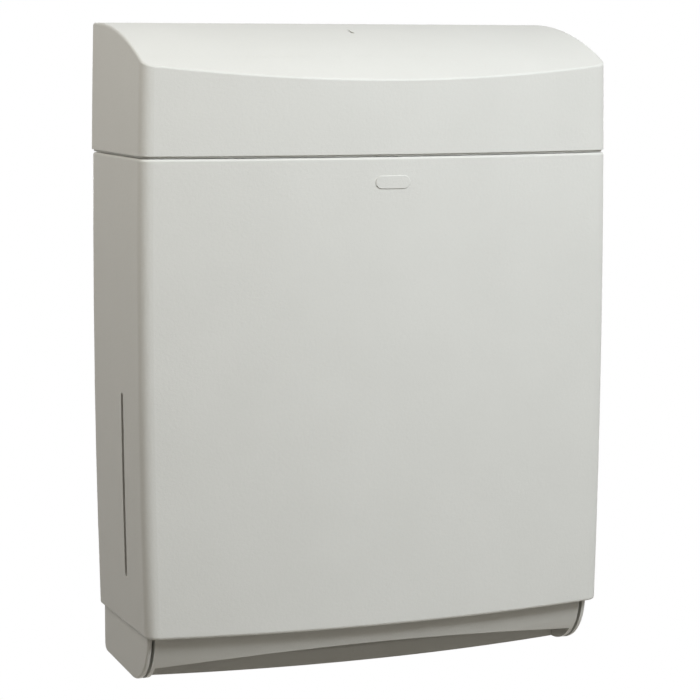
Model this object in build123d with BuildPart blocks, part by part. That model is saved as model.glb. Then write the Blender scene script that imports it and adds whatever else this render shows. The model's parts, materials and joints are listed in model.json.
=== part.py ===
"""Lockable, wall-mounted dispenser for folded paper towels: hood, bottom-hinged door, tray and latch.

The wall is the plane Y = 0 and the dispenser stands in front of it, towards -Y. +Z is up and +X is to the
right of someone who faces it. The origin is the centre of the four wall-screw holes, on the wall.
All sizes are in millimetres.
"""

from build123d import *
from math import asin, cos, degrees, radians, sin, sqrt
import os

os.makedirs("parts", exist_ok=True)

# ---------------------------------------------------------------- driving dimensions

body_width = 275.0  # across the sides, where they swell furthest
side_depth = 95.0  # wall to the front corners
front_bow = 14.0  # how far the middle of the front stands out past its corners
side_swell = 2.3  # how far the sides curve in by the top and bottom edges
corner_radius = 8.0  # upright front corners
wall = 2.2  # moulded wall of the hood, the door and the tray

door_height = 257.5
seam = 1.5  # visible groove between the door's top edge and the hood
seam_depth = 1.2  # of that groove, in the hood's wall
seam_slit = 0.4  # air between the door's top and the lip that closes the groove
overrun = 1.0  # how far a hollow's form runs past the form it is cut from
edge_margin = 0.1  # edges nearer than this to the open back stay sharp
hood_height = 70.0
crown_flat = 5.0  # level strip of the hood's top beside the wall
crown_radius = 195.0  # the top's long curve down towards the front
crown_edge_radius = 1.5
inner_edge_radius = 0.8
rim_radius = 1.4  # softened outer edge at the top of the door

screw_rows_above_door = 150.0  # door's lower edge up to the centre of the wall screws
screw_span_x = 180.0
screw_span_z = 200.0
wall_hole_radius = 3.0
wall_pad_radius = 9.0
wall_pad_height = 1.2

back_thickness = 3.0
back_rim_height = 7.0
back_rib_height = 4.0
back_rib_width = 2.0
back_rib_pitch = 60.0
back_corner_radius = 4.0
back_top_gap = 0.8
back_side_gap = 0.5  # between its edges and the cheeks beside them
back_tail = 24.0  # how far the back plate reaches below the door's lower edge
guard_gap = 0.4  # air between the back plate's seam guards and the door's side walls
guard_height = 10.0  # of those guards, which close the view past the plate at the seam

door_wall_gap = 1.2  # the door's side walls stop this far from the wall
door_flange = 5.0  # inward flange along the top of the door
door_flange_start = 24.0  # the flange keeps this far from the wall
slot_width = 4.0  # viewing slots in the door's sides
slot_length = 102.0
slot_from_wall = 57.6
slot_above_edge = 78.5
badge_length = 20.0  # blank raised badge on the door
badge_width = 7.0
badge_height = 0.5
badge_below_top = 13.5
door_heel_radius = 2.0  # lower rear edges of the door
hem_radius = 1.7  # softened outer edge at the foot of the door

cheek_wall = 2.4
cheek_gap = 0.5  # between the door's side wall and the cheek inside it
cheek_step = 1.5  # how far the pivot flange of the cheek is set in
cheek_radius = 30.0  # rounded front of the cheek and of the tray
cheek_heel_rise = 2.5  # the cheek's lower edge rises this much towards the wall
cheek_heel_radius = 5.0
cheek_edge_radius = 1.2  # softened outer edge of the cheek
cheek_wall_gap = 0.8
cheek_top = 60.0  # top of the pivot flange above the door's lower edge
cheek_foot = 18.0  # width of the foot that is screwed to the back plate
cheek_foot_bottom = 12.0
cheek_foot_top = 36.0
cheek_screw_margin = 6.0  # screw centre to the foot's ends
flange_top_depth = 24.0  # depth of the pivot flange at its top
flange_front_setback = 5.0
flange_front_rise = 10.0
flange_corner_radius = 6.0
edge_gap = 0.3  # air between the door's lower edge and the cheek's step

hinge_from_wall = 10.0
hinge_above_edge = 5.5
pin_radius = 2.5
pin_head_radius = 4.0
pin_head = 2.0
pin_play = 0.1  # radial, in the door's socket
pin_end_gap = 0.3
pin_seat_play = 0.05  # radial, in the cheek
socket_radius = 5.0
socket_gap = 0.4
socket_bite = 0.6  # how far the blind socket runs into the door's wall
hub_radius = 6.0
hub_height = 3.0
door_swing = 88.0  # degrees from shut to fully open
stop_angle = 76.0  # of the door's stop lug, round the hinge
stop_inner = 18.0
stop_outer = 26.0
stop_half_angle = 4.0
stop_play = 0.5  # degrees left between the stops with the door fully open

tray_side_gap = 0.3
lip_gap = 8.5  # between the door's inner face and the tray's front lip
lip_rise = 7.0
lip_end_drop = 20.5  # the lip's lower edge, below the door's, at its ends
lip_middle_drop = 12.4  # and in the middle of its arch
mouth_depth = 31.0  # front to back between the lip's outer face and the skirt
tray_floor_drop = 17.0
skirt_edge_radius = 5.0
tray_flange_rise = 6.0
tray_flange_gap = 4.2  # between the tray's rear flange and the cheeks' feet
tray_screw_inset = 25.0  # outer tray screws to the ends of that flange
tray_screw_drop = 2.0  # below the door's lower edge
tray_rear_relief = 22.0  # the end walls are low this far from the wall, below the hinge hubs
tray_rib_depth = 9.0
tray_rib_width = 1.8
tray_rib_pitch = 60.0
lip_wrap = 48.0  # degrees that the lip wraps down round its rounded front

screw_radius = 1.7
screw_head_radius = 3.6
screw_head = 2.2
screw_length = 5.0
screw_play = 0.1
screw_slot_width = 0.9
screw_slot_depth = 0.8

hood_tab_gap = 3.0  # between a tab and the wall pad beside it
hood_tab_width = 20.0
hood_tab_height = 20.0
hood_tab_rise = 5.0  # above the hood's lower edge
hood_rib_depth = 20.0
stop_rib_x = 60.0
stop_rib_drop = 7.0  # the hood's stop ribs reach this far below its edge, behind the door's flange
stop_rib_length = 12.0
stop_rib_gap = 0.4

key_slot_length = 9.5
key_slot_width = 1.6
key_behind_latch = 25.5  # key slot behind the lever's pivot
key_guide_wall = 1.8
key_guide_depth = 9.0

hook_reach = 24.0  # hook in front of the lever's pivot
latch_above_seam = 9.0  # pivot above the hood's lower edge
latch_throw = 16.0  # degrees the lever tips when the key pushes it
latch_pin_radius = 2.0
latch_pin_play = 0.1
latch_pin_head_radius = 3.6
latch_pin_head = 1.5
latch_pin_tail = 1.0  # past the clip
latch_pin_groove = 0.5
lever_hub_radius = 4.6
lever_width = 15.2
lever_thickness = 4.0
lever_tail = 8.5  # past the middle of the key slot
nose_width = 13.0
nose_thickness = 4.5
nose_drop = 6.2  # hook below the door's top
nose_ramp = 3.0
nose_gap = 0.8  # hook to the rear edge of the keeper's slot
keeper_half_width = 22.0
keeper_land = 9.0  # strip of the keeper behind its slot
keeper_slot_front = 2.2  # strip of the keeper in front of its slot
keeper_slot_length = 9.4
keeper_slot_side_gap = 1.6

bracket_rise = 20.0  # pivot up to the underside of the bracket's plate
bracket_plate = 2.4
bracket_cheek = 2.2
bracket_side_gap = 1.0
bracket_cheek_length = 16.0
bracket_half_width = 26.0
bracket_screw_x = 19.0
bracket_front = 20.0  # plate in front of the pivot
bracket_back = 9.0
boss_radius = 4.5
spring_from_pivot = 14.0
spring_radius = 3.4
spring_wire = 0.9
spring_turns = 6
spring_seat_gap = 0.2
spring_post_radius = 2.5
spring_post = 1.8
clip_radius = 3.8
clip_thickness = 0.9
clip_mouth = 2.4
clip_side_gap = 0.2

# ---------------------------------------------------------------- heights and faces worked out from them

door_bottom = -screw_rows_above_door
door_top = door_bottom + door_height
hood_bottom = door_top + seam
hood_top = hood_bottom + hood_height
middle_z = (door_bottom + hood_top) / 2
half_width = body_width / 2
full_depth = side_depth + front_bow
bow_radius = (half_width**2 + front_bow**2) / (2 * front_bow)
bow_centre = bow_radius - full_depth
half_height = (hood_top - door_bottom) / 2
side_radius = (half_height**2 + side_swell**2) / (2 * side_swell)


def front_y(x, inset):
    """Y of the bowed front at x, moved in from the outside by inset."""
    return bow_centre - sqrt((bow_radius - inset) ** 2 - x**2)


def side_x(z, inset):
    """Half width of the swelling sides at height z, moved in by inset."""
    return half_width - inset - side_radius + sqrt(side_radius**2 - (z - middle_z) ** 2)


def crown_z(y, inset):
    """Height of the hood's top at y, moved in by inset."""
    run = max(0.0, -y - crown_flat)
    return hood_top - crown_radius + sqrt((crown_radius - inset) ** 2 - run**2)


cheek_outer = side_x(door_bottom, wall) - cheek_gap
cheek_inner = cheek_outer - cheek_wall
flange_outer = cheek_outer - cheek_step
flange_inner = flange_outer - cheek_wall
tray_half = flange_inner - tray_side_gap
hinge_y = -hinge_from_wall
hinge_z = door_bottom + hinge_above_edge
foot_front = -back_thickness - cheek_wall
lip_radial = bow_radius - wall - lip_gap  # outer face of the lip, from the bow's centre
skirt_radial = lip_radial - mouth_depth
cheek_front = bow_centre - sqrt(lip_radial**2 - tray_half**2)
round_y = cheek_front + cheek_radius  # centre of the rounded front, at the ends of the tray
tray_flange_half = flange_inner - cheek_foot - tray_flange_gap
tray_floor = door_bottom - tray_floor_drop
tray_bottom = door_bottom - cheek_radius
latch_z = hood_bottom + latch_above_seam
keeper_front = front_y(0, wall)
slot_front = keeper_front + keeper_slot_front
slot_rear = slot_front + keeper_slot_length
nose_back = slot_rear - nose_gap
nose_front = nose_back - nose_thickness
latch_y = nose_back + hook_reach
key_y = latch_y + key_behind_latch
bracket_under = latch_z + bracket_rise
bracket_over = bracket_under + bracket_plate
bracket_inner = lever_width / 2 + bracket_side_gap
bracket_outer = bracket_inner + bracket_cheek
arm_top = latch_z + lever_thickness / 2
spring_y = latch_y - spring_from_pivot
SIDES = (-1, 1)


def polar(angle, reach):
    """Y and Z of a point round the door's hinge; the angle is in degrees from straight back to the wall."""
    return (hinge_y + reach * cos(radians(angle)), hinge_z + reach * sin(radians(angle)))


# ---------------------------------------------------------------- forms shared by several pieces


def body_block(inset, low, high, back):
    """The dispenser's bowed, swelling form between two heights, moved in by inset, up to Y = back."""
    with BuildPart() as block:
        with BuildSketch(Plane.XZ.offset(full_depth + overrun)):
            with BuildLine():
                middle = (low + high) / 2
                bottom, waist, top = [(side_x(z, inset), z) for z in (low, middle, high)]
                ThreePointArc(bottom, waist, top)
                Line(top, (-top[0], high))
                ThreePointArc((-top[0], high), (-waist[0], middle), (-bottom[0], low))
                Line((-bottom[0], low), bottom)
            make_face()
        extrude(amount=-full_depth - overrun - back)
        with BuildSketch(Plane.XY.offset(low - overrun)):
            with BuildLine():
                reach = half_width + front_bow
                corner = front_y(reach, inset)
                rear = back + overrun
                ThreePointArc((-reach, corner), (0, front_y(0, inset)), (reach, corner))
                Polyline((reach, corner), (reach, rear), (-reach, rear), (-reach, corner))
            make_face()
        extrude(amount=high - low + 2 * overrun, mode=Mode.INTERSECT)
        uprights = block.edges().filter_by(lambda e: e.center().Y < -side_depth / 2)
        uprights = uprights.filter_by(lambda e: e.bounding_box().size.Z > (high - low) / 2)
        fillet(uprights, corner_radius - inset)
    return block.part


def crowned_block(inset, low, back):
    """The hood's form above a height, moved in by inset: body_block cut to the curve of the top."""
    blank = body_block(inset, low, hood_top + overrun, back)
    front = -full_depth - crown_flat
    middle = -full_depth / 2
    with BuildPart() as block:
        add(blank)
        with BuildSketch(Plane.YZ.offset(-body_width)):
            with BuildLine():
                level = hood_top - inset
                front_top = (front, crown_z(front, inset))
                rear = back + overrun
                base = low - overrun
                Polyline((-crown_flat, level), (rear, level), (rear, base), (front, base), front_top)
                ThreePointArc(front_top, (middle, crown_z(middle, inset)), (-crown_flat, level))
            make_face()
        extrude(amount=2 * body_width, mode=Mode.INTERSECT)
        lowest = crown_z(front, inset) - crown_edge_radius
        crown = block.edges().filter_by(lambda e: e.bounding_box().min.Z > lowest)
        crown = crown.filter_by(lambda e: e.center().Y < back - edge_margin)
        crown = crown.filter_by(GeomType.LINE, reverse=True) + crown.filter_by(Axis.Y)
        fillet(crown, max(crown_edge_radius - inset, inner_edge_radius))
    return block.part


def screws(planes, label):
    """One pan-head screw on each plane: the head stands on the plane, the shank runs back through it."""
    with BuildPart() as group:
        for plane in planes:
            with BuildSketch(plane):
                Circle(screw_head_radius)
            extrude(amount=screw_head)
            with BuildSketch(plane):
                Circle(screw_radius)
            extrude(amount=-screw_length)
            with BuildSketch(plane.offset(screw_head)):
                Rectangle(screw_head_radius * 1.2, screw_slot_width)
                Rectangle(screw_slot_width, screw_head_radius * 1.2)
            extrude(amount=-screw_slot_depth, mode=Mode.SUBTRACT)
    group.part.label = label
    return group.part


def facing_front(x, y, z):
    """A plane at a point whose normal looks to the front, away from the wall."""
    return Plane(origin=(x, y, z), x_dir=(1, 0, 0), z_dir=(0, -1, 0))


def radial_plane(half_angle):
    """The upright plane through the bow's axis, turned from the middle; x is the distance from that axis."""
    out = (-sin(radians(half_angle)), -cos(radians(half_angle)), 0)
    return Plane(origin=(0, bow_centre, 0), x_dir=out, z_dir=(out[1], -out[0], 0))


# ---------------------------------------------------------------- back plate

back_half = cheek_inner - back_side_gap
back_bottom = door_bottom - back_tail
back_top = hood_top - wall - back_top_gap
rim_bottom = door_bottom + cheek_top + cheek_wall
hole_places = GridLocations(screw_span_x, screw_span_z, 2, 2)
cheek_screw_x = flange_inner - cheek_foot / 2
cheek_screw_low = door_bottom + cheek_foot_bottom + cheek_screw_margin
cheek_screw_z = (cheek_screw_low, door_bottom + cheek_foot_top - cheek_screw_margin)
cheek_places = [(side * cheek_screw_x, z) for side in SIDES for z in cheek_screw_z]
tray_screw_far = tray_flange_half - tray_screw_inset
tray_screw_x = (-tray_screw_far, 0, tray_screw_far)
tray_screw_z = door_bottom - tray_screw_drop
hood_tab_x = screw_span_x / 2 - wall_pad_radius - hood_tab_gap - hood_tab_width / 2
hood_screw_z = hood_bottom + hood_tab_rise + hood_tab_height / 2
hood_places = [(side * hood_tab_x, hood_screw_z) for side in SIDES]
guard_reach = side_x(door_top + guard_height / 2, wall) - guard_gap
guard_middle = (guard_reach + back_half - wall) / 2

with BuildPart() as back_plate:
    with BuildSketch(Plane.XZ):
        with Locations((0, (back_top + back_bottom) / 2)):
            RectangleRounded(2 * back_half, back_top - back_bottom, back_corner_radius)
    extrude(amount=back_thickness)
    with BuildSketch(Plane.XZ.offset(back_thickness)):
        with Locations((0, (back_top + rim_bottom) / 2)):
            Rectangle(2 * back_half, back_top - rim_bottom)
            Rectangle(2 * (back_half - wall), back_top - rim_bottom, mode=Mode.SUBTRACT)
        with Locations((0, back_top - wall / 2)):
            Rectangle(2 * back_half, wall)
    extrude(amount=back_rim_height)
    with BuildSketch(Plane.XZ):
        with Locations([(side * guard_middle, door_top) for side in SIDES]):
            Rectangle(guard_reach - back_half + wall, guard_height)
    extrude(amount=back_thickness + back_rim_height)
    with BuildSketch(Plane.XZ.offset(back_thickness)):
        with Locations((0, (hood_bottom + rim_bottom) / 2)):
            with GridLocations(back_rib_pitch, 0, 3, 1):
                Rectangle(back_rib_width, hood_bottom - rim_bottom)
    extrude(amount=back_rib_height)
    with BuildSketch(Plane.XZ.offset(back_thickness)):
        with hole_places:
            Circle(wall_pad_radius)
    extrude(amount=wall_pad_height)
    with BuildSketch(Plane.XZ):
        with hole_places:
            Circle(wall_hole_radius)
    extrude(amount=back_thickness + wall_pad_height, mode=Mode.SUBTRACT)
    with BuildSketch(Plane.XZ):
        with Locations(cheek_places):
            Circle(screw_radius + screw_play)
        with Locations([(x, tray_screw_z) for x in tray_screw_x]):
            Circle(screw_radius + screw_play)
        with Locations(hood_places):
            Circle(screw_radius + screw_play)
    extrude(amount=back_thickness, mode=Mode.SUBTRACT)

back_plate.part.label = "back_plate"
export_step(back_plate.part, "parts/back_plate.step")

# ---------------------------------------------------------------- cheeks, which carry the hinge

step_top = door_bottom - edge_gap
step_under = step_top - cheek_wall
heel = tray_bottom + cheek_heel_rise
cheek_tip = round_y - sqrt(cheek_radius**2 - edge_gap**2)
slant_y = round_y - cheek_radius * sin(radians(45))
slant_z = door_bottom - cheek_radius * cos(radians(45))
flange_tip = cheek_tip + flange_front_setback
cheek_stop = stop_angle + door_swing + 2 * stop_half_angle + stop_play


def stop_corners(angle):
    """Corners of a stop lug centred at an angle round the hinge."""
    low = angle - stop_half_angle
    high = angle + stop_half_angle
    return [polar(low, stop_inner), polar(low, stop_outer), polar(high, stop_outer), polar(high, stop_inner)]


with BuildPart() as cheek_left:
    with BuildSketch(Plane.YZ.offset(-cheek_outer)) as lower_plate:
        with BuildLine():
            Polyline((cheek_tip, step_top), (-cheek_wall_gap, step_top), (-cheek_wall_gap, heel))
            Line((-cheek_wall_gap, heel), (round_y, tray_bottom))
            ThreePointArc((round_y, tray_bottom), (slant_y, slant_z), (cheek_tip, step_top))
        make_face()
        fillet(lower_plate.vertices().group_by(Axis.X)[-1].sort_by(Axis.Y)[0], cheek_heel_radius)
    extrude(amount=cheek_wall)
    outer_rim = cheek_left.faces().sort_by(Axis.X)[0].edges()
    fillet(outer_rim.filter_by(lambda e: e.center().Z < step_top - edge_margin), cheek_edge_radius)
    with BuildSketch(Plane.YZ.offset(-cheek_outer)):
        with BuildLine():
            ledge_tip = cheek_tip + cheek_wall / 2
            Polyline((ledge_tip, step_under), (ledge_tip, step_top), (-back_thickness, step_top))
            Polyline((-back_thickness, step_top), (-back_thickness, step_under), (ledge_tip, step_under))
        make_face()
    extrude(amount=cheek_outer - flange_inner)
    with BuildSketch(Plane.YZ.offset(-flange_outer)) as pivot_flange:
        with BuildLine():
            Polyline(
                (-back_thickness, step_under),
                (-back_thickness, door_bottom + cheek_top),
                (-flange_top_depth, door_bottom + cheek_top),
                (flange_tip, door_bottom + flange_front_rise),
                (flange_tip, step_under),
                close=True,
            )
        make_face()
        front_corners = pivot_flange.vertices().group_by(Axis.Y)[-1].sort_by(Axis.X)[:1]
        front_corners += pivot_flange.vertices().group_by(Axis.Y)[-2]
        fillet(front_corners, flange_corner_radius)
    extrude(amount=cheek_wall)
    with BuildSketch(Plane.XZ.offset(back_thickness)):
        with Locations((-cheek_screw_x, door_bottom + (cheek_foot_bottom + cheek_foot_top) / 2)):
            Rectangle(cheek_foot, cheek_foot_top - cheek_foot_bottom)
        with Locations([(-cheek_screw_x, z) for z in cheek_screw_z]):
            Circle(screw_radius + screw_play, mode=Mode.SUBTRACT)
    extrude(amount=cheek_wall)
    with BuildSketch(Plane.YZ.offset(-flange_inner)):
        with Locations((hinge_y, hinge_z)):
            Circle(hub_radius)
    extrude(amount=hub_height)
    with BuildSketch(Plane.YZ.offset(-flange_outer)):
        with Locations((hinge_y, hinge_z)):
            Circle(pin_radius + pin_seat_play)
    extrude(amount=cheek_wall + hub_height, mode=Mode.SUBTRACT)
    with BuildSketch(Plane.YZ.offset(-cheek_outer)):
        Polygon(*stop_corners(cheek_stop), align=None)
    extrude(amount=cheek_step)

with BuildPart() as cheek_right:
    mirror(cheek_left.part, about=Plane.YZ)

cheek_left.part.label = "cheek_left"
export_step(cheek_left.part, "parts/cheek_left.step")
cheek_right.part.label = "cheek_right"
export_step(cheek_right.part, "parts/cheek_right.step")

cheek_screws = screws([facing_front(x, foot_front, z) for x, z in cheek_places], "cheek_screws")
export_step(cheek_screws, "parts/cheek_screws.step")

# ---------------------------------------------------------------- hinge pins

hub_face = flange_inner - hub_height
socket_end = side_x(hinge_z, wall) + socket_bite
pin_end = socket_end - pin_end_gap

for name, side in (("hinge_pin_left", -1), ("hinge_pin_right", 1)):
    with BuildPart() as hinge_pin:
        with BuildSketch(Plane.YZ.offset(side * (hub_face - pin_head))):
            with Locations((hinge_y, hinge_z)):
                Circle(pin_head_radius)
        extrude(amount=side * pin_head)
        with BuildSketch(Plane.YZ.offset(side * hub_face)):
            with Locations((hinge_y, hinge_z)):
                Circle(pin_radius)
        extrude(amount=side * (pin_end - hub_face))
    hinge_pin.part.label = name
    export_step(hinge_pin.part, f"parts/{name}.step")

# ---------------------------------------------------------------- towel tray

lip_centre = lip_radial - cheek_radius
skirt_back = skirt_radial - skirt_edge_radius
floor_lap = skirt_back - 2 * wall
floor_under = tray_floor - wall
half_sweep = degrees(asin((tray_half + corner_radius) / floor_lap))  # past the tray's ends, which trim it
lip_rim = door_bottom + lip_rise


def lip_point(reach, angle):
    """Distance from the bow's axis and height of a point of the lip, at an angle down its rounded front."""
    return (lip_centre + reach * cos(radians(angle)), door_bottom - reach * sin(radians(angle)))



with BuildPart() as tray:
    with BuildSketch(radial_plane(half_sweep)):
        with BuildLine():
            inner = cheek_radius - wall
            outer = [lip_point(cheek_radius, lip_wrap * share) for share in (0, 0.5, 1)]
            under = [lip_point(inner, lip_wrap * share) for share in (1, 0.5, 0)]
            ThreePointArc(*outer)
            Line(outer[-1], under[0])
            ThreePointArc(*under)
            Polyline(under[-1], (lip_radial - wall, lip_rim), (lip_radial, lip_rim), outer[0])
        make_face()
    revolve(axis=Axis((0, bow_centre, 0), (0, 0, 1)), revolution_arc=2 * half_sweep)
    with BuildSketch(Plane.XZ):
        with BuildLine():
            drop = door_bottom - lip_end_drop
            ThreePointArc((-tray_half, drop), (0, door_bottom - lip_middle_drop), (tray_half, drop))
            low = tray_bottom - wall
            reach = tray_half + corner_radius
            Polyline((tray_half, drop), (reach, drop), (reach, low), (-reach, low))
            Polyline((-reach, low), (-reach, drop), (-tray_half, drop))
        make_face()
    extrude(amount=2 * full_depth, mode=Mode.SUBTRACT)
    with BuildSketch(radial_plane(half_sweep)):
        with BuildLine():
            turn = tray_floor - skirt_edge_radius
            skirt_inner = skirt_radial - wall
            half = skirt_edge_radius * (1 - cos(radians(45)))
            inside = (skirt_edge_radius - wall) * (1 - cos(radians(45)))
            shoulder = (skirt_radial - half, tray_floor - half)
            inner_shoulder = (skirt_inner - inside, floor_under - inside)
            Line((skirt_radial, tray_bottom), (skirt_radial, turn))
            ThreePointArc((skirt_radial, turn), shoulder, (skirt_back, tray_floor))
            Polyline((skirt_back, tray_floor), (floor_lap, tray_floor), (floor_lap, floor_under))
            Line((floor_lap, floor_under), (skirt_back, floor_under))
            ThreePointArc((skirt_back, floor_under), inner_shoulder, (skirt_inner, turn))
            Polyline((skirt_inner, turn), (skirt_inner, tray_bottom), (skirt_radial, tray_bottom))
        make_face()
    revolve(axis=Axis((0, bow_centre, 0), (0, 0, 1)), revolution_arc=2 * half_sweep)
    with BuildSketch(Plane.XZ):
        with Locations((0, door_bottom)):
            Rectangle(2 * tray_half, 4 * cheek_radius)
    extrude(amount=2 * full_depth, mode=Mode.INTERSECT)
    with BuildSketch(Plane.XY.offset(floor_under)):
        with BuildLine():
            edge = bow_centre - sqrt((skirt_back - wall) ** 2 - tray_half**2)
            ThreePointArc((-tray_half, edge), (0, bow_centre - skirt_back + wall), (tray_half, edge))
            Polyline((tray_half, edge), (tray_half, -back_thickness))
            Polyline((tray_half, -back_thickness), (-tray_half, -back_thickness), (-tray_half, edge))
        make_face()
    extrude(amount=wall)
    for side in SIDES:
        with BuildSketch(Plane.YZ.offset(side * tray_half)):
            with BuildLine():
                low_top = hinge_z - hub_radius - wall
                Polyline(
                    (cheek_front, door_bottom),
                    (cheek_front, lip_rim),
                    (-tray_rear_relief - lip_rise, lip_rim),
                    (-tray_rear_relief, low_top),
                    (-back_thickness, low_top),
                    (-back_thickness, heel + wall),
                    (round_y, tray_bottom),
                )
                ThreePointArc((round_y, tray_bottom), (slant_y, slant_z), (cheek_front, door_bottom))
            make_face()
        extrude(amount=-side * wall)
    with BuildSketch(Plane.XZ.offset(back_thickness)):
        flange_top = door_bottom + tray_flange_rise
        with Locations((0, (flange_top + tray_floor) / 2)):
            Rectangle(2 * tray_flange_half, flange_top - tray_floor)
        with Locations([(x, tray_screw_z) for x in tray_screw_x]):
            Circle(screw_radius + screw_play, mode=Mode.SUBTRACT)
    extrude(amount=cheek_wall)
    for x in (-tray_rib_pitch, 0, tray_rib_pitch):
        rib_front = bow_centre - sqrt((skirt_radial - wall / 2) ** 2 - x**2)
        with BuildSketch(Plane.YZ.offset(x - tray_rib_width / 2)):
            with BuildLine():
                rib_under = floor_under - tray_rib_depth
                Polyline((-back_thickness, floor_under), (-back_thickness, rib_under), (rib_front, rib_under))
                Polyline((rib_front, rib_under), (rib_front, floor_under), (-back_thickness, floor_under))
            make_face()
        extrude(amount=tray_rib_width)

tray.part.label = "tray"
export_step(tray.part, "parts/tray.step")

tray_screws = screws([facing_front(x, foot_front, tray_screw_z) for x in tray_screw_x], "tray_screws")
export_step(tray_screws, "parts/tray_screws.step")

# ---------------------------------------------------------------- hood

hood_outside = crowned_block(0, hood_bottom, 0)
hood_inside = crowned_block(wall, hood_bottom - overrun, overrun)
lip_bottom = door_top + seam_slit
lip_outside = body_block(seam_depth, lip_bottom, hood_bottom + overrun, 0)
lip_inside = body_block(wall, lip_bottom - overrun, hood_bottom + 2 * overrun, overrun)
guide_bottom = crown_z(key_y, wall) - key_guide_depth
tab_bottom = hood_bottom + hood_tab_rise
tab_top = tab_bottom + hood_tab_height
rib_x = hood_tab_x - hood_tab_width / 2
rim_clear = back_thickness + back_rim_height + wall / 2
stop_front = front_y(stop_rib_x + wall / 2, wall + door_flange) + stop_rib_gap
stop_back = stop_front + stop_rib_length
stop_tip = hood_bottom - stop_rib_drop

with BuildPart() as hood_fittings:
    with BuildSketch(Plane.XY.offset(guide_bottom)):
        with Locations((0, key_y)):
            guide_x = key_slot_width + 2 * key_guide_wall
            guide_y = key_slot_length + 2 * key_guide_wall
            RectangleRounded(guide_x, guide_y, key_guide_wall / 2)
    extrude(amount=hood_top - guide_bottom)
    with BuildSketch(Plane.XY.offset(bracket_over)):
        with Locations([(side * bracket_screw_x, latch_y) for side in SIDES]):
            Circle(boss_radius)
    extrude(amount=hood_top - bracket_over)
    for side in SIDES:
        with BuildSketch(Plane.YZ.offset(side * rib_x - wall / 2)):
            with BuildLine():
                rib_front = -back_thickness - hood_rib_depth
                Polyline(
                    (-back_thickness, tab_bottom),
                    (-back_thickness, tab_top),
                    (-rim_clear, tab_top + rim_clear),
                    (-rim_clear, hood_top),
                    (rib_front, hood_top),
                    (rib_front, tab_bottom + hood_rib_depth / 2),
                    (-back_thickness - wall, tab_bottom),
                    close=True,
                )
            make_face()
        extrude(amount=wall)
        with BuildSketch(Plane.YZ.offset(side * stop_rib_x - wall / 2)):
            with BuildLine():
                Polyline((stop_front, hood_bottom), (stop_front, hood_top), (stop_back, hood_top))
                Polyline((stop_back, hood_top), (stop_back, hood_bottom), (stop_front, hood_bottom))
            make_face()
        extrude(amount=wall)
    add(hood_outside, mode=Mode.INTERSECT)

with BuildPart() as hood_lip:
    add(lip_outside)
    add(lip_inside, mode=Mode.SUBTRACT)

with BuildPart() as hood:
    add(hood_outside)
    add(hood_inside, mode=Mode.SUBTRACT)
    add(hood_lip.part)
    add(hood_fittings.part)
    for side in SIDES:
        with BuildSketch(Plane.XZ.offset(back_thickness)):
            with Locations((side * hood_tab_x, hood_screw_z)):
                Rectangle(hood_tab_width, hood_tab_height)
                Circle(screw_radius + screw_play, mode=Mode.SUBTRACT)
        extrude(amount=cheek_wall)
        with BuildSketch(Plane.YZ.offset(side * stop_rib_x - wall / 2)):
            with BuildLine():
                Polyline((stop_front, stop_tip), (stop_front, hood_bottom), (stop_back, hood_bottom))
                Polyline((stop_back, hood_bottom), (stop_back - stop_rib_drop / 2, stop_tip))
                Line((stop_back - stop_rib_drop / 2, stop_tip), (stop_front, stop_tip))
            make_face()
        extrude(amount=wall)
    with BuildSketch(Plane.XY.offset(hood_top)):
        with Locations((0, key_y)):
            SlotOverall(key_slot_length, key_slot_width, rotation=90)
    extrude(amount=guide_bottom - hood_top, mode=Mode.SUBTRACT)
    with BuildSketch(Plane.XY.offset(bracket_over)):
        with Locations([(side * bracket_screw_x, latch_y) for side in SIDES]):
            Circle(screw_radius + screw_play)
    extrude(amount=2 * screw_length, mode=Mode.SUBTRACT)

hood.part.label = "hood"
export_step(hood.part, "parts/hood.step")

hood_screws = screws([facing_front(x, foot_front, z) for x, z in hood_places], "hood_screws")
export_step(hood_screws, "parts/hood_screws.step")

# ---------------------------------------------------------------- door

door_outside = body_block(0, door_bottom, door_top, -door_wall_gap)
door_inside = body_block(wall, door_bottom - overrun, door_top + overrun, overrun)
flange_outside = body_block(wall / 2, door_top - wall, door_top, -door_flange_start)
flange_low = door_top - wall - overrun
flange_inside = body_block(wall + door_flange, flange_low, door_top + overrun, overrun - door_flange_start)
socket_face = flange_outer + socket_gap
keeper_back = slot_rear + keeper_land

with BuildPart() as door_shell:
    add(door_outside)
    rim = door_shell.edges().group_by(Axis.Z)[-1]
    rim = rim.filter_by(lambda e: e.center().Y < -door_wall_gap - edge_margin)
    fillet(rim, rim_radius)
    hem = door_shell.edges().group_by(Axis.Z)[0]
    hem = hem.filter_by(lambda e: e.center().Y < -door_wall_gap - edge_margin)
    fillet(hem, hem_radius)
    fillet(door_shell.edges().filter_by(Axis.X).sort_by(Axis.Z)[0], door_heel_radius)
    add(door_inside, mode=Mode.SUBTRACT)

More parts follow.
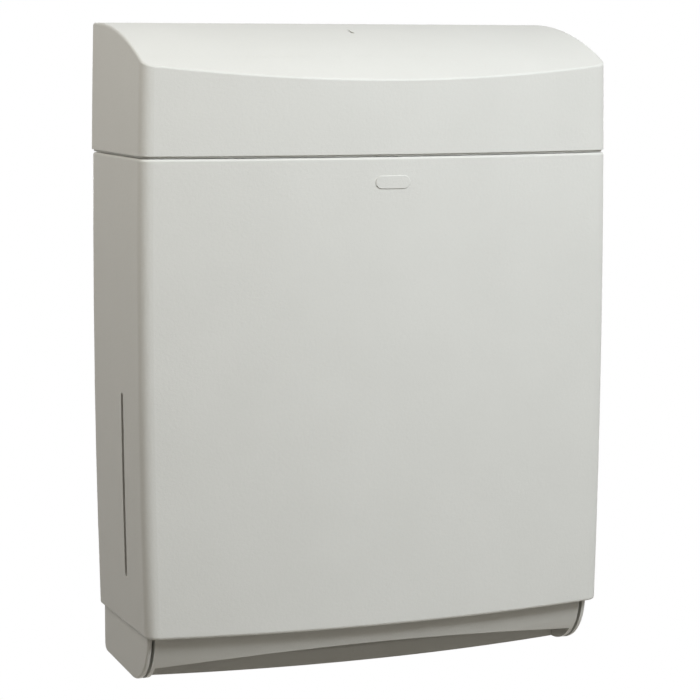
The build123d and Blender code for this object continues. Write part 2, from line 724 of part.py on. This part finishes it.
with BuildPart() as door:
    add(door_shell.part)
    add(flange_outside)
    add(flange_inside, mode=Mode.SUBTRACT)
    with BuildSketch(Plane.XY.offset(door_top - wall)):
        with Locations((0, (keeper_front - wall / 2 + keeper_back) / 2)):
            Rectangle(2 * keeper_half_width, keeper_back - keeper_front + wall / 2)
    extrude(amount=wall)
    with BuildSketch(Plane.XY.offset(door_top - wall)):
        with Locations((0, (slot_front + slot_rear) / 2)):
            Rectangle(nose_width + 2 * keeper_slot_side_gap, keeper_slot_length)
    extrude(amount=wall, mode=Mode.SUBTRACT)
    with BuildSketch(Plane.YZ.offset(-body_width)):
        with Locations((-slot_from_wall, door_bottom + slot_above_edge)):
            SlotOverall(slot_length, slot_width, rotation=90)
    extrude(amount=2 * body_width, mode=Mode.SUBTRACT)
    for side in SIDES:
        inner_face = side_x(hinge_z, wall)
        with BuildSketch(Plane.YZ.offset(side * socket_face)):
            with Locations((hinge_y, hinge_z)):
                Circle(socket_radius)
            Polygon(*stop_corners(stop_angle), align=None)
        extrude(amount=side * (inner_face + wall / 2 - socket_face))
        with BuildSketch(Plane.YZ.offset(side * socket_face)):
            with Locations((hinge_y, hinge_z)):
                Circle(pin_radius + pin_play)
        extrude(amount=side * (socket_end - socket_face), mode=Mode.SUBTRACT)
    with BuildSketch(Plane.XZ.offset(-front_y(0, wall / 2))):
        with Locations((0, door_top - badge_below_top)):
            SlotOverall(badge_length, badge_width)
    extrude(amount=wall / 2 + badge_height)
    fillet(door.faces().sort_by(Axis.Y)[0].edges(), badge_height / 2)

door.part.label = "door"
export_step(door.part, "parts/door.step")

# ---------------------------------------------------------------- latch

pin_head_at = -bracket_outer - clip_side_gap
clip_at = bracket_outer + clip_side_gap
groove_radius = latch_pin_radius - latch_pin_groove
groove_width = clip_thickness + 2 * latch_pin_play

with BuildPart() as latch_bracket:
    with BuildSketch(Plane.XY.offset(bracket_under)):
        with Locations((0, latch_y + (bracket_back - bracket_front) / 2)):
            RectangleRounded(2 * bracket_half_width, bracket_back + bracket_front, bracket_plate)
        with Locations([(side * bracket_screw_x, latch_y) for side in SIDES]):
            Circle(screw_radius + screw_play, mode=Mode.SUBTRACT)
    extrude(amount=bracket_plate)
    for side in SIDES:
        with BuildSketch(Plane.YZ.offset(side * bracket_inner)):
            with Locations((latch_y, (latch_z + bracket_under) / 2)):
                Rectangle(bracket_cheek_length, bracket_rise)
            with Locations((latch_y, latch_z)):
                Circle(bracket_cheek_length / 2)
                Circle(latch_pin_radius + latch_pin_play, mode=Mode.SUBTRACT)
        extrude(amount=side * bracket_cheek)
    with BuildSketch(Plane.XY.offset(bracket_under)):
        with Locations((0, spring_y)):
            Circle(spring_post_radius)
    extrude(amount=-spring_post)

latch_bracket.part.label = "latch_bracket"
export_step(latch_bracket.part, "parts/latch_bracket.step")

with BuildPart() as latch_lever:
    with BuildSketch(Plane.YZ.offset(-nose_width / 2)):
        with BuildLine():
            hook = door_top - nose_drop
            arm_under = latch_z - lever_thickness / 2
            tail = key_y + lever_tail
            Polyline(
                (tail, arm_top),
                (nose_front, arm_top),
                (nose_front, hook + nose_ramp),
                (nose_front + nose_ramp, hook),
                (nose_back, hook),
                (nose_back, arm_under),
                (tail, arm_under),
                close=True,
            )
        make_face()
    extrude(amount=nose_width)
    with BuildSketch(Plane.YZ.offset(-lever_width / 2)):
        with Locations((latch_y, latch_z)):
            Circle(lever_hub_radius)
    extrude(amount=lever_width)
    with BuildSketch(Plane.YZ.offset(-lever_width / 2)):
        with Locations((latch_y, latch_z)):
            Circle(latch_pin_radius + latch_pin_play)
    extrude(amount=lever_width, mode=Mode.SUBTRACT)
    with BuildSketch(Plane.XY.offset(arm_top)):
        with Locations((0, spring_y)):
            Circle(spring_post_radius)
    extrude(amount=spring_post)

latch_lever.part.label = "latch_lever"
export_step(latch_lever.part, "parts/latch_lever.step")

with BuildPart() as latch_pin:
    with BuildSketch(Plane.YZ.offset(pin_head_at)):
        with Locations((latch_y, latch_z)):
            Circle(latch_pin_head_radius)
    extrude(amount=-latch_pin_head)
    with BuildSketch(Plane.YZ.offset(pin_head_at)):
        with Locations((latch_y, latch_z)):
            Circle(latch_pin_radius)
    extrude(amount=clip_at + groove_width + latch_pin_tail - pin_head_at)
    with BuildSketch(Plane.YZ.offset(clip_at)):
        with Locations((latch_y, latch_z)):
            Circle(latch_pin_head_radius)
            Circle(groove_radius, mode=Mode.SUBTRACT)
    extrude(amount=groove_width, mode=Mode.SUBTRACT)

latch_pin.part.label = "latch_pin"
export_step(latch_pin.part, "parts/latch_pin.step")

with BuildPart() as latch_pin_clip:
    with BuildSketch(Plane.YZ.offset(clip_at + latch_pin_play)):
        with Locations((latch_y, latch_z)):
            Circle(clip_radius)
            Circle(groove_radius + pin_seat_play, mode=Mode.SUBTRACT)
        with Locations((latch_y, latch_z - clip_radius / 2)):
            Rectangle(clip_mouth, clip_radius, mode=Mode.SUBTRACT)
    extrude(amount=clip_thickness)

latch_pin_clip.part.label = "latch_pin_clip"
export_step(latch_pin_clip.part, "parts/latch_pin_clip.step")

coil_low = arm_top + spring_seat_gap + spring_wire / 2
coil_high = bracket_under - spring_seat_gap - spring_wire / 2
coil_pitch = (coil_high - coil_low) / spring_turns

with BuildPart() as latch_spring:
    with BuildLine() as coil:
        Helix(coil_pitch, coil_high - coil_low, spring_radius, center=(0, spring_y, coil_low))
    with BuildSketch(Plane(origin=coil.line @ 0, z_dir=coil.line % 0)):
        Circle(spring_wire / 2)
    sweep()

latch_spring.part.label = "latch_spring"
export_step(latch_spring.part, "parts/latch_spring.step")

seats = [(side * bracket_screw_x, latch_y, bracket_under) for side in SIDES]
under_bracket = [Plane(origin=seat, z_dir=(0, 0, -1)) for seat in seats]
latch_screws = screws(under_bracket, "latch_screws")
export_step(latch_screws, "parts/latch_screws.step")
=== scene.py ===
"""Looks, light and camera for the wall-mounted folded-towel dispenser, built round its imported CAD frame.

The frame is in metres. The wall is the plane Y = 0, the dispenser stands in front of it
towards -Y, and +Z is up.
"""

import json
import math

import bpy
from mathutils import Matrix, Vector


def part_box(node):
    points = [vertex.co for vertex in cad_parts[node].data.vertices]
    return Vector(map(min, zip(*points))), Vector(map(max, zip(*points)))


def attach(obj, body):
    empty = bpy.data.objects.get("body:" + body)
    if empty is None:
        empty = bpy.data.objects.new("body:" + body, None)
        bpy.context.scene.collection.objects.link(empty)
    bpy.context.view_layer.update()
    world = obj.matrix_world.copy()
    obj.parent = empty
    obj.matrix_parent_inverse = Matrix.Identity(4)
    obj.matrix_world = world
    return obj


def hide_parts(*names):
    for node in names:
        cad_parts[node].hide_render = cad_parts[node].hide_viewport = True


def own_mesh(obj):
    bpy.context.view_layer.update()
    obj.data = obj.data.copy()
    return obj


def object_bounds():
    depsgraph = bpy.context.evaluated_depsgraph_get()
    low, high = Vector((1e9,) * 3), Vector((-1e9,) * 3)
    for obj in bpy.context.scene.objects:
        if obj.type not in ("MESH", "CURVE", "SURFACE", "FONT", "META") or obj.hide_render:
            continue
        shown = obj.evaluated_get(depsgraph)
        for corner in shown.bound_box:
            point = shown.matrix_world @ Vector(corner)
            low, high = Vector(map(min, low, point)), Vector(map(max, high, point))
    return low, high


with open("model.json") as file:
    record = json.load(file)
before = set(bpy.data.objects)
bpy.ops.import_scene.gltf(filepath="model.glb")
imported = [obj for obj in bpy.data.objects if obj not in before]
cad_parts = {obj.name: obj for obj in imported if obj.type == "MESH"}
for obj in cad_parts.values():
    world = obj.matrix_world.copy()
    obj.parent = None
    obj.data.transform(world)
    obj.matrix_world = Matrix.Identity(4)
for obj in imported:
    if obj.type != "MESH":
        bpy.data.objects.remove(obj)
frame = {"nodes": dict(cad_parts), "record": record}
cad_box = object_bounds()

WHITE = (1.0, 1.0, 1.0)

# ---------------------------------------------------------------- camera

VIEW_PIXELS = 700.0
FOCAL_PIXELS = 2376.444
SENSOR_MM = 36.0
CLIP_NEAR, CLIP_FAR = 0.05, 50.0
CAMERA_AT = Vector((-0.49502, -1.28986, 0.16814))
CAMERA_YAW = math.radians(21.722)  # turned from +Y towards +X
CAMERA_PITCH = math.radians(7.359)  # downwards
CAMERA_ROLL = math.radians(-0.170)


def add_camera():
    """The camera of the reference view, as a matrix of its right, up and backward directions."""
    forward = Vector((
        math.sin(CAMERA_YAW) * math.cos(CAMERA_PITCH),
        math.cos(CAMERA_YAW) * math.cos(CAMERA_PITCH),
        -math.sin(CAMERA_PITCH),
    ))
    level_right = Vector((math.cos(CAMERA_YAW), -math.sin(CAMERA_YAW), 0.0))
    down = forward.cross(level_right)
    right = math.cos(CAMERA_ROLL) * level_right + math.sin(CAMERA_ROLL) * down
    up = right.cross(forward)
    data = bpy.data.cameras.new("camera")
    data.sensor_width = SENSOR_MM
    data.lens = FOCAL_PIXELS / VIEW_PIXELS * SENSOR_MM
    data.clip_start = CLIP_NEAR
    data.clip_end = CLIP_FAR
    camera = bpy.data.objects.new("camera", data)
    turn = Matrix((right, up, -forward)).transposed().to_4x4()
    camera.matrix_world = Matrix.Translation(CAMERA_AT) @ turn
    bpy.context.scene.collection.objects.link(camera)
    bpy.context.scene.camera = camera


# ---------------------------------------------------------------- light

LAMPS = (  # name, place, side of the square, watts, tint
    ("key", (0.45, -1.20, 1.00), 0.8, 26.2, (0.97, 1.0, 1.03)),
    ("front", (0.40, -1.60, 0.15), 0.8, 1.2, (1.0, 0.94, 0.84)),
    ("fill", (-0.70, -0.18, 0.60), 0.45, 3.3, (1.0, 0.96, 0.90)),
    ("behind", (0.0, 1.40, 0.10), 0.25, 9.0, WHITE),  # narrow, so that it lights the back and not the sides
)
TARGET = Vector((0.0, -0.06, 0.02))  # the middle of the dispenser
WORLD_ABOVE = 0.05
WORLD_BELOW = 0.085
WORLD_TINT = (1.0, 0.84, 0.60)
FADE_REACH = 0.6  # the world fades between these heights of a direction, below and above level


def add_softbox(name, place, size, watts, tint):
    """A square softbox that faces the middle of the dispenser."""
    data = bpy.data.lights.new(name, "AREA")
    data.shape = "SQUARE"
    data.size = size
    data.energy = watts
    data.color = tint
    lamp = bpy.data.objects.new(name, data)
    lamp.location = place
    lamp.rotation_euler = (TARGET - Vector(place)).to_track_quat("-Z", "Y").to_euler()
    bpy.context.scene.collection.objects.link(lamp)


def background_rays(tree):
    """1 for the rays that see the white background: the camera's and those of gloss and glass; else 0."""
    path = tree.nodes.new("ShaderNodeLightPath")
    seen = path.outputs["Is Camera Ray"]
    for kind in ("Is Glossy Ray", "Is Transmission Ray"):
        either = tree.nodes.new("ShaderNodeMath")
        either.operation = "MAXIMUM"
        tree.links.new(seen, either.inputs[0])
        tree.links.new(path.outputs[kind], either.inputs[1])
        seen = either.outputs["Value"]
    return seen


def add_world():
    """Dim warm light, stronger from below, and white for the rays that see the background."""
    world = bpy.data.worlds.new("studio")
    bpy.context.scene.world = world
    world.use_nodes = True
    tree = world.node_tree
    tree.nodes.clear()
    output = tree.nodes.new("ShaderNodeOutputWorld")
    mix = tree.nodes.new("ShaderNodeMixShader")
    dim = tree.nodes.new("ShaderNodeBackground")
    dim.inputs["Color"].default_value = (*WORLD_TINT, 1.0)
    coords = tree.nodes.new("ShaderNodeTexCoord")
    split = tree.nodes.new("ShaderNodeSeparateXYZ")
    tree.links.new(coords.outputs["Generated"], split.inputs[0])
    fade = ranged(tree, split.outputs["Z"], WORLD_BELOW, WORLD_ABOVE, -FADE_REACH, FADE_REACH)
    tree.links.new(fade, dim.inputs["Strength"])
    white = tree.nodes.new("ShaderNodeBackground")
    white.inputs["Color"].default_value = (*WHITE, 1.0)
    white.inputs["Strength"].default_value = 1.0
    tree.links.new(background_rays(tree), mix.inputs["Fac"])
    tree.links.new(dim.outputs[0], mix.inputs[1])
    tree.links.new(white.outputs[0], mix.inputs[2])
    tree.links.new(mix.outputs[0], output.inputs["Surface"])


# ---------------------------------------------------------------- materials

# Noise scales are per metre: at 1000 the marks are about 1 mm apart.
SHELL_TONES = ((0.622, 0.624, 0.592), (0.662, 0.664, 0.632))
SHELL_ROUGHNESS = (0.46, 0.58)
SHELL_SPECULAR = 0.34
SHELL_BUMP = 0.00007
MOTTLE_SCALE, SPECK_SCALE, GRAIN_SCALE, PEBBLE_SCALE = 26.0, 900.0, 1500.0, 520.0
MOTTLE_SHARE, SPECK_SHARE = 0.4, 0.6  # of the step between the two tones
PEBBLE_SHARE = 1.2  # of the bump, against the fine grain's 1

LATCH_TONES = ((0.045, 0.046, 0.050), (0.075, 0.076, 0.082))
LATCH_ROUGHNESS = (0.34, 0.46)
LATCH_MOTTLE_SCALE, LATCH_GRAIN_SCALE = 60.0, 1200.0
LATCH_BUMP = 0.00003

METAL_BUMP = 0.00001
METALS = (  # slot, material, tones, roughness, scale of the marks, how they are drawn out
    ("pin_steel", "pin_steel_turned", ((0.50, 0.50, 0.51), (0.62, 0.62, 0.63)),
     (0.22, 0.36), 900.0, (6.0, 0.4, 0.4)),
    ("spring_steel", "spring_steel_drawn", ((0.42, 0.42, 0.43), (0.56, 0.56, 0.57)),
     (0.2, 0.32), 700.0, (1.0, 1.0, 1.0)),
    ("screw_steel", "screw_steel_plated", ((0.50, 0.50, 0.50), (0.66, 0.66, 0.67)),
     (0.24, 0.4), 1100.0, (1.0, 1.0, 1.0)),
)


def new_material(name):
    """A material that holds one Principled shader; returns the material, its tree and the shader."""
    material = bpy.data.materials.new(name)
    material.use_nodes = True
    tree = material.node_tree
    tree.nodes.clear()
    output = tree.nodes.new("ShaderNodeOutputMaterial")
    shader = tree.nodes.new("ShaderNodeBsdfPrincipled")
    tree.links.new(shader.outputs["BSDF"], output.inputs["Surface"])
    return material, tree, shader


def object_coords(tree, scale=(1.0, 1.0, 1.0)):
    coords = tree.nodes.new("ShaderNodeTexCoord")
    mapping = tree.nodes.new("ShaderNodeMapping")
    mapping.inputs["Scale"].default_value = scale
    tree.links.new(coords.outputs["Object"], mapping.inputs["Vector"])
    return mapping.outputs["Vector"]


def noise(tree, vector, scale, detail=2.0, rough=0.5):
    node = tree.nodes.new("ShaderNodeTexNoise")
    node.inputs["Scale"].default_value = scale
    node.inputs["Detail"].default_value = detail
    node.inputs["Roughness"].default_value = rough
    tree.links.new(vector, node.inputs["Vector"])
    return node.outputs["Fac"]


def ranged(tree, value, low, high, start=0.3, end=0.7):
    """Maps start to end, by default the span in which most noise lies, to low to high, and no further."""
    node = tree.nodes.new("ShaderNodeMapRange")
    node.inputs["From Min"].default_value = start
    node.inputs["From Max"].default_value = end
    node.inputs["To Min"].default_value = low
    node.inputs["To Max"].default_value = high
    tree.links.new(value, node.inputs["Value"])
    return node.outputs["Result"]


def two_tone(tree, value, first, second):
    node = tree.nodes.new("ShaderNodeMix")
    node.data_type = "RGBA"
    node.inputs["A"].default_value = (*first, 1.0)
    node.inputs["B"].default_value = (*second, 1.0)
    tree.links.new(value, node.inputs["Factor"])
    return node.outputs["Result"]


def added(tree, first, second, weight):
    """The first value and a share of the second."""
    node = tree.nodes.new("ShaderNodeMath")
    node.operation = "MULTIPLY_ADD"
    node.inputs[1].default_value = weight
    tree.links.new(second, node.inputs[0])
    tree.links.new(first, node.inputs[2])
    return node.outputs["Value"]


def bumped(tree, shader, height, distance):
    node = tree.nodes.new("ShaderNodeBump")
    node.inputs["Distance"].default_value = distance
    node.inputs["Strength"].default_value = 1.0
    tree.links.new(height, node.inputs["Height"])
    tree.links.new(node.outputs["Normal"], shader.inputs["Normal"])


def shell_plastic():
    """Light warm grey moulded plastic with a fine spark-eroded grain and a faint mottle."""
    material, tree, shader = new_material("shell_plastic_moulded")
    vector = object_coords(tree)
    mottle = noise(tree, vector, MOTTLE_SCALE, 3.0)
    speck = noise(tree, vector, SPECK_SCALE)
    tone = added(tree, ranged(tree, mottle, 0.0, MOTTLE_SHARE), speck, SPECK_SHARE)
    tree.links.new(two_tone(tree, tone, *SHELL_TONES), shader.inputs["Base Color"])
    grain = noise(tree, vector, GRAIN_SCALE, 3.0, 0.6)
    tree.links.new(ranged(tree, grain, *SHELL_ROUGHNESS), shader.inputs["Roughness"])
    pebble = noise(tree, vector, PEBBLE_SCALE)
    bumped(tree, shader, added(tree, grain, pebble, PEBBLE_SHARE), SHELL_BUMP)
    shader.inputs["Specular IOR Level"].default_value = SHELL_SPECULAR
    return material


def latch_plastic():
    """Dark moulded plastic of the latch, smoother than the shell."""
    material, tree, shader = new_material("latch_plastic_moulded")
    vector = object_coords(tree)
    mottle = noise(tree, vector, LATCH_MOTTLE_SCALE, 3.0)
    tree.links.new(two_tone(tree, mottle, *LATCH_TONES), shader.inputs["Base Color"])
    grain = noise(tree, vector, LATCH_GRAIN_SCALE)
    tree.links.new(ranged(tree, grain, *LATCH_ROUGHNESS), shader.inputs["Roughness"])
    bumped(tree, shader, grain, LATCH_BUMP)
    return material


def metal(name, tones, roughness, scale, drawn):
    """Bright metal with fine tool marks of noise, drawn out where one axis is scaled less than another."""
    material, tree, shader = new_material(name)
    vector = object_coords(tree, drawn)
    marks = noise(tree, vector, scale, 3.0, 0.6)
    tree.links.new(two_tone(tree, marks, *tones), shader.inputs["Base Color"])
    tree.links.new(ranged(tree, marks, *roughness), shader.inputs["Roughness"])
    bumped(tree, shader, marks, METAL_BUMP)
    shader.inputs["Metallic"].default_value = 1.0
    return material


def make_finishes():
    """One material for each material slot of the record."""
    made = {"shell_plastic": shell_plastic(), "latch_plastic": latch_plastic()}
    for slot, *look in METALS:
        made[slot] = metal(*look)
    return made


def dress_nodes(finishes):
    """Gives every CAD node the finish of the slot that the record names for it."""
    for subpart in frame["record"]["subparts"]:
        node = frame["nodes"][subpart["node"]]
        node.data.materials.clear()
        node.data.materials.append(finishes[subpart["material_slot"]])


# ---------------------------------------------------------------- latch spring

WIRE_RADIUS = 0.00045
COIL_TURNS = 7.5
CLOSED_TURNS = 1.0  # turns at each end that lie against each other
STEPS_PER_TURN = 40
WIRE_SIDES = 14


def coil_height(turn, low, high):
    """Height of the wire's centre after some turns: close at both ends and even between them."""
    pitch = 2 * WIRE_RADIUS
    if turn <= CLOSED_TURNS:
        return low + pitch * turn
    if turn >= COIL_TURNS - CLOSED_TURNS:
        return high - pitch * (COIL_TURNS - turn)
    share = (turn - CLOSED_TURNS) / (COIL_TURNS - 2 * CLOSED_TURNS)
    return low + pitch * CLOSED_TURNS + share * (high - low - 2 * pitch * CLOSED_TURNS)


def coil_points(centre, reach, low, high):
    """The middle of the wire from one end of the coil to the other."""
    points = []
    for k in range(round(COIL_TURNS * STEPS_PER_TURN) + 1):
        turn = k / STEPS_PER_TURN
        angle = 2 * math.pi * turn
        x, y = centre[0] + reach * math.cos(angle), centre[1] + reach * math.sin(angle)
        points.append(Vector((x, y, coil_height(turn, low, high))))
    return points


def wire_mesh(name, points, centre):
    """A round wire along points that circle the centre, closed at both ends."""
    last = len(points) - 1
    vertices, faces = [], []
    for k, point in enumerate(points):
        ahead = (points[min(k + 1, last)] - points[max(k - 1, 0)]).normalized()
        out = Vector((point.x - centre[0], point.y - centre[1], 0.0)).normalized()
        across = ahead.cross(out).normalized()
        out = across.cross(ahead)
        for side in range(WIRE_SIDES):
            turned = 2 * math.pi * side / WIRE_SIDES
            vertices.append(point + WIRE_RADIUS * (math.cos(turned) * out + math.sin(turned) * across))
    for k in range(last):
        for side in range(WIRE_SIDES):
            here, there = k * WIRE_SIDES + side, k * WIRE_SIDES + (side + 1) % WIRE_SIDES
            faces.append((here, there, there + WIRE_SIDES, here + WIRE_SIDES))
    faces.append(tuple(range(WIRE_SIDES))[::-1])
    faces.append(tuple(last * WIRE_SIDES + side for side in range(WIRE_SIDES)))
    mesh = bpy.data.meshes.new(name)
    mesh.from_pydata(vertices, [], faces)
    mesh.update()
    for face in mesh.polygons[:-2]:
        face.use_smooth = True
    return mesh


def add_spring(finish):
    """A closed-end compression spring in the place of the CAD coil."""
    low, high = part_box("latch_spring")
    centre = ((low[0] + high[0]) / 2, (low[1] + high[1]) / 2)
    reach = (high[0] - low[0]) / 2 - WIRE_RADIUS
    points = coil_points(centre, reach, low[2] + WIRE_RADIUS, high[2] - WIRE_RADIUS)
    mesh = wire_mesh("latch_spring_coil", points, centre)
    mesh.materials.append(finish)
    coil = bpy.data.objects.new("latch_spring_coil", mesh)
    bpy.context.scene.collection.objects.link(coil)
    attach(coil, "cabinet")
    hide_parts("latch_spring")
    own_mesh(coil)


# ---------------------------------------------------------------- stage

FLOOR_BELOW = 1.0  # the dispenser hangs this high over the floor
FLOOR_RADIUS = 3.0
FLOOR_SIDES = 96
FLOOR_TONES = ((0.84, 0.80, 0.73), (0.87, 0.83, 0.76))
FLOOR_MOTTLE_SCALE = 3.0
FLOOR_ROUGHNESS = 0.9
FLOOR_GLOW = 0.58  # what the camera sees of the floor besides its light and shade, so that the shadow shows
GLOW_START, GLOW_END = 0.65, 0.95  # shares of the radius between which that grows to 1, past the shadow


def floor_matte():
    """Pale matte floor, with a glow that only the rays that see the background see."""
    material, tree, shader = new_material("floor_matte")
    vector = object_coords(tree)
    tone = noise(tree, vector, FLOOR_MOTTLE_SCALE)
    tree.links.new(two_tone(tree, tone, *FLOOR_TONES), shader.inputs["Base Color"])
    shader.inputs["Roughness"].default_value = FLOOR_ROUGHNESS
    distance = tree.nodes.new("ShaderNodeVectorMath")
    distance.operation = "LENGTH"
    tree.links.new(vector, distance.inputs[0])
    start, end = GLOW_START * FLOOR_RADIUS, GLOW_END * FLOOR_RADIUS
    level = ranged(tree, distance.outputs["Value"], FLOOR_GLOW, 1.0, start, end)
    seen = tree.nodes.new("ShaderNodeMath")
    seen.operation = "MULTIPLY"
    tree.links.new(level, seen.inputs[0])
    tree.links.new(background_rays(tree), seen.inputs[1])
    glow = tree.nodes.new("ShaderNodeEmission")
    tree.links.new(seen.outputs["Value"], glow.inputs["Strength"])
    both = tree.nodes.new("ShaderNodeAddShader")
    tree.links.new(shader.outputs["BSDF"], both.inputs[0])
    tree.links.new(glow.outputs["Emission"], both.inputs[1])
    output = next(node for node in tree.nodes if node.bl_idname == "ShaderNodeOutputMaterial")
    tree.links.new(both.outputs["Shader"], output.inputs["Surface"])
    return material


def add_floor():
    """A round pale floor far below the dispenser."""
    angles = [2 * math.pi * k / FLOOR_SIDES for k in range(FLOOR_SIDES)]
    rim = [(FLOOR_RADIUS * math.cos(angle), FLOOR_RADIUS * math.sin(angle), 0.0) for angle in angles]
    mesh = bpy.data.meshes.new("floor")
    mesh.from_pydata(rim, [], [list(range(FLOOR_SIDES))])
    mesh.materials.append(floor_matte())
    floor = bpy.data.objects.new("floor", mesh)
    floor.location = (0.0, 0.0, cad_box[0][2] - FLOOR_BELOW)
    bpy.context.scene.collection.objects.link(floor)


# ---------------------------------------------------------------- build

add_camera()
add_world()
for lamp in LAMPS:
    add_softbox(*lamp)
finishes = make_finishes()
dress_nodes(finishes)
add_spring(finishes["spring_steel"])
add_floor()
bpy.context.scene.view_settings.view_transform = "Standard"
